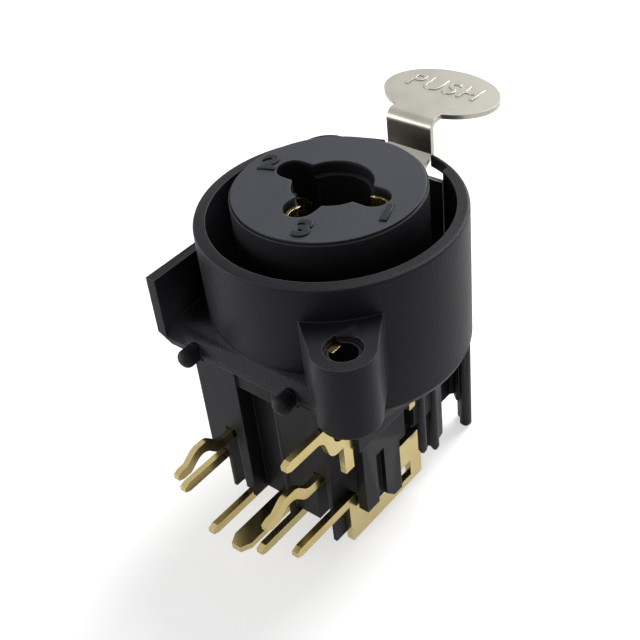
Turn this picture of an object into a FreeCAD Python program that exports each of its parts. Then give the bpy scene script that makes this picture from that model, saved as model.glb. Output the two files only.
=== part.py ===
import FreeCAD
import Part
import math
import os

# Combined XLR and jack panel socket with a horizontal circuit board foot.
# Millimetres. The origin is on the socket axis in the plane where the two screw
# bosses meet the back of the panel. +Z points out of the mouth, +Y to the latch
# and -Y to the circuit board.

# Collar
COLLAR_R = 11.75
COLLAR_WALL = 1.1
COLLAR_RISE = 3.1
COLLAR_DEPTH = 10.9
FLOOR_T = 1.2
RIM_ROUND = 0.25
TAPER_SIDES = 16
SHOULDER_ROUND = 0.7

# Screw bosses
BOSS_X = 9.9
BOSS_Y = 11.3
BOSS_R = 2.7
BOSS_LEN = 7.1
PILOT_R = 1.2
COUNTERBORE_R = 1.6
COUNTERBORE_D = 0.45
WEB_ANGLE = 18.0

# Circuit board shelf, fin and pegs
SHELF_Y = 12.5
SHELF_TOP = 5.6
SHELF_T = 1.7
SHELF_EDGE = 0.5
SHELF_SLOPE = 0.8
SHELF_END = 9.3
FIN_X = 10.65
FIN_T = 1.0
FIN_TOP = 0.6
FIN_CHAMFER = 1.5
FOOT_X = -0.9
PEG_X = 5.4
PEG_R = 0.9
PEG_LEN = 1.7
PEG_DROP = 1.4
PEG_STEP = 0.15
PEG_ROOT = 1.5

# Rear body
REAR_R = 8.7
REAR_WALL = 1.15
REAR_DEPTH = 6.0
BLOCK_HALF = 8.3
BLOCK_Y = 11.0
BLOCK_DEPTH = 14.0
COVER_T = 1.05
COVER_Y = 3.4
COVER_DEPTH = 12.4
COVER_NOTCH = 6.4
COVER_NOTCH_W = 2.5
PANEL_DEPTH = 9.7
CHANNEL_X0 = -3.5
CHANNEL_X1 = 0.8
CHANNEL_D = 1.7
SLIT_Y = 1.95
SLIT_W = 1.1
SLIT_Z = 1.9
CHAMBER_R = 4.15
HEAD_Y = 9.0
HEAD_DEPTH = 12.5

# Latch wall and its two prongs
ARC_WALL = 1.1
ARC_HALF = 4.6
ARC_DEPTH = 12.2
PRONG_X = 6.1
PRONG_Y = 10.35
PRONG_R = 0.6
PRONG_PITCH = 1.15
PRONG_TURN = 135.0
PRONG_DEPTH = 16.0

# Locating fingers on the rear wall
FINGER_R = 0.42
FINGER_OUT = 0.25
FINGER_Y1 = -0.5
FINGER_Y2 = 1.6
FINGER_LEN1 = 3.6
FINGER_LEN2 = 5.0

# Insert
INSERT_R = 8.4
FACE_RISE = 2.0
FACE_CHAMFER = 0.6
SPIGOT_R = 5.6
SPIGOT_LEN = 1.6
JACK_Y = 0.6
JACK_R = 3.25
MOUTH_R = 3.55
MOUTH_D = 1.2
LOBE_R = 1.45
LOBE_PITCH = 4.35
LOBE_LAND = 1.6

# Latch
LATCH_T = 0.45
LATCH_HALF = 4.8
LATCH_Y = 9.82
LATCH_TOP = 1.7
NECK_HALF = 2.4
NECK_Y = 11.72
NECK_RISE = 6.1
TAB_HALF_X = 5.8
TAB_HALF_Y = 4.0
TAB_Y = 16.8
FOLD_R = 0.9
HOOK_HALF = 1.5
HOOK_Z = -3.4
HOOK_D = 0.75
PIVOT_Z = -8.3
PIVOT_R = 0.5
PIVOT_GAP = 0.05
PIVOT_HALF = 5.45
WINDOW_GAP = 0.25
SKIN_T = 0.42
SKIN_Z = 2.0
TAIL_LEN = 1.4

# Latch spring
SPRING_T = 0.3
SPRING_HALF = 2.3
SPRING_GAP = 0.3
SPRING_DEPTH = 7.2

# Contact sheets
SHEET_T = 0.66
FIT = 0.05
OUTER_X = 6.75
INNER_X = 5.0
SHEET_REAR = 25.8
SHEET_FRONT = 20.1
INNER_REAR = 25.2
SHEET_TOP_Y = 2.4
OUTER_TOP_Y = 1.3
OUTER_FOOT_Y = 9.6
INNER_FOOT_Y = 6.9
PIN_END_Y = 16.8
PIN_W = 0.95
PIN_JOG = 1.9
PIN_STEP = 1.3
PIN_TAPER = 0.6
WINDOW_W = 1.5
WINDOW_H = 1.9
LEAF_DEPTH = 4.9
LEAF_T = 0.3
LEAF_W = 1.6
LEAF_GAP = 0.05

# Sleeve contact
SLEEVE_Y = 6.1
SLEEVE_HALF = 3.05
SLEEVE_LEN = 4.6
SLEEVE_REAR = 25.3
SLEEVE_PIN_W = 2.06

# Contacts of the three poles
TAIL_T = 0.6
TAIL_W = 1.0
TAIL_KINK = 1.3
TAIL_RETURN = 0.9
TAIL_END_Y = 18.3
BARREL_R = 1.3
BARREL_BORE = 1.0
BARREL_LEN = 9.0
BARREL_DROP = 0.7
BARREL_DROP_2 = 3.6
STEM_OUT = 0.85
POLE_TAIL_Z = 17.3
STEM_INSET = 0.55
ARM_Z = 13.4
ARM_W = 1.1
STRAP_GAP = 0.12
STRAP_W = 1.1
STRAP_Y = 11.05
STRAP_TOP = 0.7
STRAP_FOOT = 14.0
GROUND_TAIL_Z = 10.4
GROUND_TAIL_STEP = 2.6

# Sizes that follow
RIM_Z = COLLAR_RISE
SHOULDER_Z = -COLLAR_DEPTH
FLOOR_Z = SHOULDER_Z + FLOOR_T
BORE_R = COLLAR_R - COLLAR_WALL
FACE_Z = RIM_Z + FACE_RISE
REAR_Z = SHOULDER_Z - REAR_DEPTH
BLOCK_Z = SHOULDER_Z - BLOCK_DEPTH
COVER_Z = SHOULDER_Z - COVER_DEPTH
HEAD_Z = SHOULDER_Z - HEAD_DEPTH
ARC_Z = SHOULDER_Z - ARC_DEPTH
PRONG_Z = SHOULDER_Z - PRONG_DEPTH
SHELF_Z = -SHELF_TOP
OUTER_SLOT = SHEET_T / 2 + FIT
JACK_BACK_Z = SHOULDER_Z - SPIGOT_LEN
CAVITY_Z = FLOOR_Z + LOBE_LAND
STRAP_X = BLOCK_HALF + STRAP_GAP
POLE_TAIL_X = LOBE_PITCH + STEM_OUT
LEAF_Z = -SHEET_FRONT - LEAF_DEPTH
RING_PIN_Z = -INNER_REAR
TIP_PIN_Z = RING_PIN_Z + PIN_STEP


def box(x0, x1, y0, y1, z0, z1):
    corner = FreeCAD.Vector(min(x0, x1), min(y0, y1), min(z0, z1))
    return Part.makeBox(abs(x1 - x0), abs(y1 - y0), abs(z1 - z0), corner)


def cylinder(radius, x, y, z0, z1):
    base = FreeCAD.Vector(x, y, min(z0, z1))
    return Part.makeCylinder(radius, abs(z1 - z0), base)


def rod_x(radius, y, z, x0, x1):
    base = FreeCAD.Vector(min(x0, x1), y, z)
    return Part.makeCylinder(radius, abs(x1 - x0), base, FreeCAD.Vector(1, 0, 0))


def rod_y(radius, x, z, y0, y1):
    base = FreeCAD.Vector(x, min(y0, y1), z)
    return Part.makeCylinder(radius, abs(y1 - y0), base, FreeCAD.Vector(0, 1, 0))


def closed_face(points, rounding):
    face = Part.Face(Part.makePolygon(points + points[:1]))
    if rounding > 0:
        face = face.makeOffset2D(-rounding).makeOffset2D(rounding)
    return face


def plate_x(outline, x0, x1, rounding=0.0):
    """A plate whose outline is given as (y, z) points, from x0 to x1."""
    points = [FreeCAD.Vector(min(x0, x1), y, z) for y, z in outline]
    return closed_face(points, rounding).extrude(FreeCAD.Vector(abs(x1 - x0), 0, 0))


def plate_y(outline, y0, y1, rounding=0.0):
    """A plate whose outline is given as (x, z) points, from y0 to y1."""
    points = [FreeCAD.Vector(x, min(y0, y1), z) for x, z in outline]
    return closed_face(points, rounding).extrude(FreeCAD.Vector(0, abs(y1 - y0), 0))


def plate_z(outline, z0, z1, rounding=0.0):
    """A plate whose outline is given as (x, y) points, from z0 to z1."""
    points = [FreeCAD.Vector(x, y, min(z0, z1)) for x, y in outline]
    return closed_face(points, rounding).extrude(FreeCAD.Vector(0, 0, abs(z1 - z0)))


def tapered_end(radius, end_radius, length):
    """A many-sided taper that ends a round bar: it starts at the origin and points along -Z."""
    wires = []
    for r, z in ((radius, 0), (end_radius, -length)):
        points = []
        for step in range(TAPER_SIDES):
            angle = 2 * math.pi * step / TAPER_SIDES
            points.append(FreeCAD.Vector(r * math.cos(angle), r * math.sin(angle), z))
        wires.append(Part.makePolygon(points + points[:1]))
    return Part.makeLoft(wires, True, True)


def mirrored(shape):
    return shape.mirror(FreeCAD.Vector(0, 0, 0), FreeCAD.Vector(1, 0, 0))


def both_sides(shape):
    return [shape, mirrored(shape)]


def joined(shapes):
    first = shapes[0]
    return first.fuse(shapes[1:]).removeSplitter()


def turned(profile):
    """A solid of revolution about the socket axis, from (radius, z) points."""
    points = [FreeCAD.Vector(r, 0, z) for r, z in profile]
    face = Part.Face(Part.makePolygon(points + points[:1]))
    return face.revolve(FreeCAD.Vector(0, 0, 0), FreeCAD.Vector(0, 0, 1), 360)


def circle_at(edge, radius, z):
    curve = edge.Curve
    if not isinstance(curve, Part.Circle):
        return False
    box_z = edge.BoundBox
    flat = abs(box_z.ZMax - z) < 1e-6 and abs(box_z.ZMin - z) < 1e-6
    return flat and abs(curve.Radius - radius) < 1e-6


def save(node, shape):
    solid = shape.removeSplitter()
    if len(solid.Solids) == 1:
        solid = solid.Solids[0]
    solid.exportStep("parts/" + node + ".step")


def boss_blank():
    """One screw boss with the web that carries it, on the circuit board side."""
    angle = math.atan2(-BOSS_Y, BOSS_X)
    spread = math.radians(WEB_ANGLE)
    root = COLLAR_R - COLLAR_WALL / 2
    side = (-math.sin(angle), math.cos(angle))
    outline = [
        (root * math.cos(angle - spread), root * math.sin(angle - spread)),
        (BOSS_X - BOSS_R * side[0], -BOSS_Y - BOSS_R * side[1]),
        (BOSS_X + BOSS_R * side[0], -BOSS_Y + BOSS_R * side[1]),
        (root * math.cos(angle + spread), root * math.sin(angle + spread)),
    ]
    web = plate_z(outline, -BOSS_LEN, 0)
    return web.fuse(cylinder(BOSS_R, BOSS_X, -BOSS_Y, -BOSS_LEN, 0))


def boss_bore():
    bore = cylinder(PILOT_R, BOSS_X, -BOSS_Y, -BOSS_LEN - 1, 1)
    front = cylinder(COUNTERBORE_R, BOSS_X, -BOSS_Y, -COUNTERBORE_D, 1)
    back = cylinder(COUNTERBORE_R, BOSS_X, -BOSS_Y, -BOSS_LEN - 1, -BOSS_LEN + COUNTERBORE_D)
    return bore.fuse([front, back])


def half_turn(shape):
    turned = shape.copy()
    turned.rotate(FreeCAD.Vector(0, 0, 0), FreeCAD.Vector(0, 0, 1), 180)
    return turned


def make_prong():
    """A prong of two round beads side by side, with rounded ends."""
    beads = []
    along = math.radians(PRONG_TURN)
    for side in (-0.5, 0.5):
        x = PRONG_X + side * PRONG_PITCH * math.cos(along)
        y = PRONG_Y + side * PRONG_PITCH * math.sin(along)
        bead = cylinder(PRONG_R, x, y, PRONG_Z + PRONG_R / 2, SHOULDER_Z + FLOOR_T / 2)
        tip = tapered_end(PRONG_R, PRONG_R * 0.6, PRONG_R / 2)
        tip.translate(FreeCAD.Vector(x, y, PRONG_Z + PRONG_R / 2))
        beads.append(bead.fuse(tip))
    return beads[0].fuse(beads[1])


def make_housing():
    # The collar's rim and shoulder are eased in two steps.
    ease = 1 - math.sqrt(0.5)
    collar = turned([
        (0, SHOULDER_Z),
        (COLLAR_R - SHOULDER_ROUND, SHOULDER_Z),
        (COLLAR_R - SHOULDER_ROUND * ease, SHOULDER_Z + SHOULDER_ROUND * ease),
        (COLLAR_R, SHOULDER_Z + SHOULDER_ROUND),
        (COLLAR_R, RIM_Z - RIM_ROUND),
        (COLLAR_R - RIM_ROUND * ease, RIM_Z - RIM_ROUND * ease),
        (COLLAR_R - RIM_ROUND, RIM_Z),
        (0, RIM_Z),
    ])

    # Shelf, fin and pegs stand on the circuit board plane.
    shelf_bottom = SHELF_Z - SHELF_T
    shelf_outline = [
        (-SHELF_Y, shelf_bottom),
        (-SHELF_Y, shelf_bottom + SHELF_EDGE),
        (-SHELF_Y + SHELF_SLOPE, SHELF_Z),
        (-BORE_R / 2, SHELF_Z),
        (-BORE_R / 2, shelf_bottom),
    ]
    shelf = plate_x(shelf_outline, -FIN_X, SHELF_END)
    fin_outline = [
        (-SHELF_Y, shelf_bottom),
        (-SHELF_Y, -FIN_TOP),
        (-BORE_R / 2, -FIN_TOP),
        (-BORE_R / 2, shelf_bottom),
    ]
    fin = plate_x(fin_outline, -FIN_X, -FIN_X + FIN_T)
    foot = shelf.fuse(fin)
    corner = [
        (-FIN_X - 1, shelf_bottom - 1),
        (-FIN_X + FIN_CHAMFER, shelf_bottom - 1),
        (-FIN_X + FIN_CHAMFER, shelf_bottom),
        (-FIN_X, shelf_bottom + FIN_CHAMFER / 2),
        (-FIN_X - 1, shelf_bottom + FIN_CHAMFER / 2),
    ]
    foot = foot.cut(plate_y(corner, -SHELF_Y - 1, 0))
    pegs = []
    for x in (FOOT_X - PEG_X, FOOT_X + PEG_X):
        z = SHELF_Z - PEG_DROP
        taper_y = -SHELF_Y - PEG_LEN + PEG_R / 3
        peg = rod_y(PEG_R, x, z, taper_y, -SHELF_Y)
        tip = tapered_end(PEG_R, PEG_R * 2 / 3, PEG_R / 3)
        tip.rotate(FreeCAD.Vector(0, 0, 0), FreeCAD.Vector(1, 0, 0), -90)
        tip.translate(FreeCAD.Vector(x, taper_y, z))
        root_half = PEG_R - PEG_STEP
        root = box(x - root_half, x + root_half, -SHELF_Y, -SHELF_Y + PEG_ROOT, z - root_half, z)
        pegs.append(peg.fuse([tip, root]))

    bosses = [boss_blank(), half_turn(boss_blank())]

    # The rear body: a round wall, two cover walls and the block for the contacts.
    rear = cylinder(REAR_R, 0, 0, REAR_Z, SHOULDER_Z)
    cover_outline = [
        (-COVER_Y, SHOULDER_Z),
        (-COVER_Y, COVER_Z),
        (-COVER_Y - REAR_WALL, COVER_Z),
        (-COVER_Y - 2 * REAR_WALL, COVER_Z + REAR_WALL),
        (-BLOCK_Y + COVER_NOTCH_W, COVER_Z + REAR_WALL),
        (-BLOCK_Y + COVER_NOTCH_W, SHOULDER_Z - COVER_NOTCH),
        (-BLOCK_Y, SHOULDER_Z - COVER_NOTCH),
        (-BLOCK_Y, SHOULDER_Z),
    ]
    cover = plate_x(cover_outline, BLOCK_HALF - COVER_T, BLOCK_HALF)
    lower = box(-BLOCK_HALF, BLOCK_HALF, -BLOCK_Y, 0, SHOULDER_Z - COVER_NOTCH, SHOULDER_Z)
    panel = box(-BLOCK_HALF, CHANNEL_X0, -BLOCK_Y, -BLOCK_Y + CHANNEL_D, SHOULDER_Z - PANEL_DEPTH, SHOULDER_Z)
    rib_half = OUTER_X - OUTER_SLOT
    block = box(-rib_half, rib_half, -BLOCK_Y, SHEET_TOP_Y + REAR_WALL, BLOCK_Z, SHOULDER_Z)

    # Two heads beside the sheets, up to the latch wall.
    head_outline = [
        (REAR_R - REAR_WALL, SHEET_TOP_Y + FIT),
        (REAR_R - REAR_WALL, SHEET_TOP_Y + REAR_WALL),
        (PRONG_X + PRONG_R, HEAD_Y),
        (ARC_HALF, PRONG_Y),
        (ARC_HALF - REAR_WALL, HEAD_Y),
        (CHAMBER_R - REAR_WALL, HEAD_Y - REAR_WALL),
        (CHAMBER_R, SHEET_TOP_Y + FIT),
    ]
    head = plate_z(head_outline, HEAD_Z, SHOULDER_Z)

    arc = cylinder(COLLAR_R, 0, 0, ARC_Z, SHOULDER_Z)
    arc = arc.cut(cylinder(COLLAR_R - ARC_WALL, 0, 0, ARC_Z - 1, SHOULDER_Z))
    arc = arc.common(box(-ARC_HALF - 1, ARC_HALF + 1, 0, COLLAR_R + 1, ARC_Z, SHOULDER_Z))

    fingers = []
    for y, length in ((FINGER_Y1, FINGER_LEN1), (FINGER_Y2, FINGER_LEN2)):
        x = math.sqrt(REAR_R ** 2 - y ** 2) - FINGER_R / 2 + FINGER_OUT
        bar = cylinder(FINGER_R, x, y, REAR_Z - length, SHOULDER_Z)
        tip = tapered_end(FINGER_R, FINGER_R / 2, FINGER_R)
        tip.translate(FreeCAD.Vector(x, y, REAR_Z - length))
        fingers.append(bar.fuse(tip))

    body = [collar, foot] + pegs + bosses + [rear, lower, block, panel]
    for side in [cover, head, make_prong()] + fingers:
        body += both_sides(side)
    housing = joined(body + [arc])

    # Hollows, from the mouth to the rear.
    cuts = [cylinder(BORE_R, 0, 0, FLOOR_Z, RIM_Z + 1)]
    cuts.append(cylinder(SPIGOT_R, 0, 0, SHOULDER_Z - 1, FLOOR_Z + 1))
    chamber = cylinder(REAR_R - REAR_WALL, 0, 0, REAR_Z - 1, SHOULDER_Z)
    keep = box(-REAR_R, REAR_R, -REAR_R, SHEET_TOP_Y + FIT, REAR_Z - 2, SHOULDER_Z + 1)
    cuts.append(chamber.cut(keep).cut(plate_z(head_outline, REAR_Z - 2, SHOULDER_Z + 1)).cut(
        mirrored(plate_z(head_outline, REAR_Z - 2, SHOULDER_Z + 1))))
    cuts.append(cylinder(SPIGOT_R, 0, 0, BLOCK_Z - 1, SHOULDER_Z - 1))
    cuts.append(box(-CHAMBER_R, CHAMBER_R, -SLEEVE_Y + SHEET_T / 2, HEAD_Y, BLOCK_Z - 1, SHOULDER_Z - 1))
    cuts += [boss_bore(), half_turn(boss_bore())]
    cuts.append(box(CHANNEL_X0, CHANNEL_X1, -BLOCK_Y - 1, -BLOCK_Y + CHANNEL_D, BLOCK_Z - 1,
                    SHOULDER_Z - SHOULDER_ROUND))
    sheet_slot = box(OUTER_X - OUTER_SLOT, OUTER_X + OUTER_SLOT, -BLOCK_Y - 1, SHEET_TOP_Y + FIT,
                     BLOCK_Z - 1, -SHEET_FRONT)
    inner_slot = box(INNER_X - OUTER_SLOT, INNER_X + OUTER_SLOT, -BLOCK_Y - 1, SHEET_TOP_Y + FIT,
                     BLOCK_Z - 1, -SHEET_FRONT + PIN_W)
    tail_front = -POLE_TAIL_Z + TAIL_W / 2 + FIT
    tail_slot = box(INNER_X - OUTER_SLOT, INNER_X + OUTER_SLOT + TAIL_T, -BLOCK_Y - 1,
                    SHEET_TOP_Y + FIT, BLOCK_Z - 1, tail_front)
    slit = box(CHAMBER_R, REAR_R + 1, -SLIT_Y - SLIT_W / 2, -SLIT_Y + SLIT_W / 2, BLOCK_Z - 1,
               SHOULDER_Z - SLIT_Z)
    for side in (sheet_slot, inner_slot, tail_slot, slit):
        cuts += both_sides(side)

    # The first pole's arm leaves through the slit, and its strap climbs into the boss.
    arm_half = TAIL_T / 2 + FIT
    stem_x = POLE_TAIL_X
    cuts.append(box(stem_x - arm_half, stem_x + arm_half, -SLIT_Y - SLIT_W / 2, JACK_Y + TAIL_W / 2 + FIT,
                    BLOCK_Z - 1, -ARM_Z + ARM_W / 2 + FIT))
    cuts.append(box(STRAP_X - FIT, STRAP_X + TAIL_T + FIT, -STRAP_Y - STRAP_W / 2 - FIT,
                    -STRAP_Y + STRAP_W / 2 + FIT, shelf_bottom - 1, 1))
    cuts.append(box(STRAP_X - FIT, REAR_R + 1, -SLIT_Y - SLIT_W / 2 - FIT, -SLIT_Y + arm_half,
                    SHOULDER_Z - SLIT_Z - 1, SHOULDER_Z))
    cuts += stem_slots(BLOCK_Z - 1, FLOOR_Z + 1)
    third_y = JACK_Y - POLE_TAIL_X
    cuts.append(box(0, POLE_TAIL_X + arm_half, third_y - arm_half, third_y + arm_half, BLOCK_Z - 1, tail_front))

    # Notches for the jogs of the inner contacts, the bowed leaves and the sleeve pin.
    for side, pin_z in ((1, TIP_PIN_Z), (-1, RING_PIN_Z)):
        pin_x = inner_pin_x(side)
        notch = box(pin_x - OUTER_SLOT, INNER_X + OUTER_SLOT, -BLOCK_Y - 1, -INNER_FOOT_Y + FIT, BLOCK_Z - 1,
                    pin_z + PIN_W + FIT)
        cuts.append(notch if side > 0 else mirrored(notch))
    leaf_pocket = box(INNER_X, OUTER_X, -COVER_Y, SHEET_TOP_Y, BLOCK_Z - 1, LEAF_Z + LEAF_W + FIT)
    cuts += both_sides(leaf_pocket)
    pin_half = SLEEVE_PIN_W / 2 + FIT
    cuts.append(box(FOOT_X - pin_half, FOOT_X + pin_half, -BLOCK_Y - 1, -SLEEVE_Y, BLOCK_Z - 1,
                    -SLEEVE_REAR + SHEET_T + FIT))

    # The sleeve contact slides into a slot across the block.
    cuts.append(box(-SLEEVE_HALF - FIT, SLEEVE_HALF + FIT, -SLEEVE_Y - OUTER_SLOT, -SLEEVE_Y + OUTER_SLOT,
                    BLOCK_Z - 1, -SLEEVE_REAR + SLEEVE_LEN + FIT))

    # The latch window: open through the wall below a thin skin at the rim.
    half = LATCH_HALF + WINDOW_GAP
    cuts.append(box(-half, half, LATCH_Y - LATCH_T, COLLAR_R + 1, FLOOR_Z, SKIN_Z))
    pocket = cylinder(COLLAR_R - SKIN_T, 0, 0, FLOOR_Z, RIM_Z + 1)
    cuts.append(pocket.common(box(-half, half, 0, COLLAR_R, FLOOR_Z, RIM_Z + 1)))
    neck = NECK_HALF + WINDOW_GAP
    cuts.append(box(-neck, neck, LATCH_Y, COLLAR_R + 1, FLOOR_Z, RIM_Z + 1))
    cuts.append(rod_x(PIVOT_R + PIVOT_GAP, LATCH_Y, PIVOT_Z, -PIVOT_HALF - PIVOT_GAP, PIVOT_HALF + PIVOT_GAP))
    tail = box(-half, half, LATCH_Y - LATCH_T * 2, COLLAR_R - ARC_WALL, SHOULDER_Z - 1, FLOOR_Z + 1)
    cuts.append(tail)
    return housing.cut(cuts)


def opening_profile(z0, z1, grow=0.0):
    """The jack bore joined with the three pole cavities."""
    reach = LOBE_PITCH
    radius = LOBE_R + grow
    parts = [cylinder(JACK_R, 0, JACK_Y, z0, z1)]
    for dx, dy in ((1, 0), (-1, 0), (0, -1)):
        x = reach * dx
        y = JACK_Y + reach * dy
        parts.append(cylinder(radius, x, y, z0, z1))
        if dx:
            parts.append(box(0, x, y - radius, y + radius, z0, z1))
        else:
            parts.append(box(-radius, radius, y, JACK_Y, z0, z1))
    return joined(parts)


def stem_slots(z0, z1):
    """Slots for the stems of the three pole contacts, between the jack bore and the rear."""
    half_t = TAIL_T / 2 + FIT
    half_w = TAIL_W / 2 + FIT
    slots = []
    for x in (-POLE_TAIL_X, POLE_TAIL_X):
        slots.append(box(x - half_t, x + half_t, JACK_Y - half_w, JACK_Y + half_w, z0, z1))
    y = JACK_Y - POLE_TAIL_X
    slots.append(box(-half_w, half_w, y - half_t, y + half_t, z0, z1))
    return slots


def inner_pin_x(side):
    """How far from the middle an inner contact's pin stands: the board pattern sits off centre."""
    return INNER_X - PIN_JOG + side * FOOT_X


def make_insert():
    body = cylinder(INSERT_R, 0, 0, FLOOR_Z, FACE_Z)
    body = body.makeChamfer(FACE_CHAMFER, [e for e in body.Edges if circle_at(e, INSERT_R, FACE_Z)])
    body = body.fuse(cylinder(SPIGOT_R - FIT, 0, 0, JACK_BACK_Z, FLOOR_Z))
    body = body.cut(opening_profile(CAVITY_Z, FACE_Z + 1))
    body = body.cut(cylinder(MOUTH_R, 0, JACK_Y, FACE_Z - MOUTH_D, FACE_Z + 1))
    body = body.cut(cylinder(JACK_R, 0, JACK_Y, JACK_BACK_Z - 1, FACE_Z))
    return body.cut(stem_slots(JACK_BACK_Z - 1, CAVITY_Z + STEM_INSET + FIT))


def make_latch():
    inner = LATCH_Y - LATCH_T / 2
    outer = LATCH_Y + LATCH_T / 2
    tail_z = PIVOT_Z - TAIL_LEN
    wide = box(-LATCH_HALF, LATCH_HALF, inner, outer, tail_z, LATCH_TOP)
    neck_inner = NECK_Y - LATCH_T / 2
    neck_outer = NECK_Y + LATCH_T / 2
    joggle = [
        (inner, LATCH_TOP - 1),
        (inner, LATCH_TOP + 0.1),
        (neck_inner, LATCH_TOP + 1.2),
        (neck_inner, NECK_RISE - FOLD_R),
        (neck_outer, NECK_RISE - FOLD_R),
        (neck_outer, LATCH_TOP + 1.0),
        (outer, LATCH_TOP - 0.2),
        (outer, LATCH_TOP - 1),
    ]
    neck = plate_x(joggle, -NECK_HALF, NECK_HALF)

    # The fold turns the neck outwards into the tab.
    centre = FreeCAD.Vector(-NECK_HALF, neck_outer + FOLD_R - LATCH_T, NECK_RISE - FOLD_R)
    axis = FreeCAD.Vector(1, 0, 0)
    fold = Part.makeCylinder(FOLD_R, 2 * NECK_HALF, centre, axis)
    fold = fold.cut(Part.makeCylinder(FOLD_R - LATCH_T, 2 * NECK_HALF, centre, axis))
    fold = fold.common(box(-NECK_HALF, NECK_HALF, neck_inner, centre.y, centre.z, NECK_RISE))
    strip = box(-NECK_HALF, NECK_HALF, centre.y, TAB_Y, NECK_RISE - LATCH_T, NECK_RISE)
    oval = Part.Ellipse(FreeCAD.Vector(0, TAB_Y, NECK_RISE - LATCH_T), TAB_HALF_X, TAB_HALF_Y)
    tab = Part.Face(Part.Wire(oval.toShape())).extrude(FreeCAD.Vector(0, 0, LATCH_T))

    hook_outline = [
        (inner + LATCH_T / 2, HOOK_Z + 1.4),
        (inner - HOOK_D, HOOK_Z + 0.3),
        (inner - HOOK_D, HOOK_Z),
        (inner + LATCH_T / 2, HOOK_Z),
    ]
    hook = plate_x(hook_outline, -HOOK_HALF, HOOK_HALF)
    pivot = rod_x(PIVOT_R, LATCH_Y, PIVOT_Z, -PIVOT_HALF, PIVOT_HALF)
    return joined([wide, neck, fold, strip, tab, hook, pivot])


def make_latch_spring():
    """A folded leaf in the latch channel, with its short leg behind the latch's tail."""
    back = COLLAR_R - ARC_WALL - FIT
    y_back = math.sqrt(back ** 2 - SPRING_HALF ** 2)
    z_top = SHOULDER_Z - FIT
    z_low = SHOULDER_Z - SPRING_DEPTH
    y_front = LATCH_Y - LATCH_T / 2 - SPRING_GAP
    long_leg = box(-SPRING_HALF, SPRING_HALF, y_back - SPRING_T, y_back, z_low, z_top)
    foot = box(-SPRING_HALF, SPRING_HALF, y_front - SPRING_T, y_back, z_low - SPRING_T, z_low)
    short_leg = box(-SPRING_HALF, SPRING_HALF, y_front - SPRING_T, y_front, z_low, PIVOT_Z - TAIL_LEN / 2)
    split = box(-0.1, 0.1, y_front - 1, y_back + 1, z_low - 1, z_low + 2.5)
    return joined([long_leg, foot, short_leg]).cut(split)


def pin_outline(y_root, y_end, z_low, z_high):
    """A straight pin towards the circuit board, tapered at its end."""
    slope = (z_high - z_low) / 4
    return [
        (y_root, z_low),
        (y_end + PIN_TAPER, z_low),
        (y_end, z_low + slope),
        (y_end, z_high - slope),
        (y_end + PIN_TAPER, z_high),
        (y_root, z_high),
    ]


def bowed_leaf(x_root, x_peak, y0, y1, z_low):
    """A strip that bows out of its sheet towards the socket axis and back."""
    middle = (y0 + y1) / 2
    t = LEAF_T
    outline = [
        (x_root + t, y0),
        (x_root, y0),
        (x_peak, middle - 0.3),
        (x_peak, middle + 0.3),
        (x_root, y1),
        (x_root + t, y1),
        (x_peak + t, middle + 0.2),
        (x_peak + t, middle - 0.2),
    ]
    return plate_z(outline, z_low, z_low + LEAF_W)


def make_switch_contact(side):
    """The outer sheet on one side: a broad plate with a window and a straight pin."""
    pin_high = -SHEET_FRONT + PIN_W - 1.1
    pin_low = pin_high - PIN_W
    outline = [
        (OUTER_TOP_Y, -SHEET_REAR),
        (-OUTER_FOOT_Y, -SHEET_REAR),
        (-OUTER_FOOT_Y, pin_high),
        (-BLOCK_Y + COVER_NOTCH_W, pin_high),
        (-BLOCK_Y + COVER_NOTCH_W + 1.2, pin_high - 3.4),
        (-COVER_Y - 1.0, pin_high - 3.4),
        (-COVER_Y + 0.8, -SHEET_FRONT),
        (OUTER_TOP_Y, -SHEET_FRONT),
    ]
    half = SHEET_T / 2
    sheet = plate_x(outline, OUTER_X - half, OUTER_X + half, 0.25)
    pin = plate_x(pin_outline(-OUTER_FOOT_Y + 1, -PIN_END_Y, pin_low, pin_high), OUTER_X - half, OUTER_X + half)
    window = box(OUTER_X - 1, OUTER_X + 1, -COVER_Y + 1.5, -COVER_Y + 1.5 + WINDOW_W, LEAF_Z,
                 LEAF_Z + WINDOW_H)
    leaf = bowed_leaf(OUTER_X - half, INNER_X + half + LEAF_GAP, -COVER_Y + 0.9, OUTER_TOP_Y, LEAF_Z)
    contact = joined([sheet, pin, leaf]).cut(window)
    return contact if side > 0 else mirrored(contact)


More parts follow.
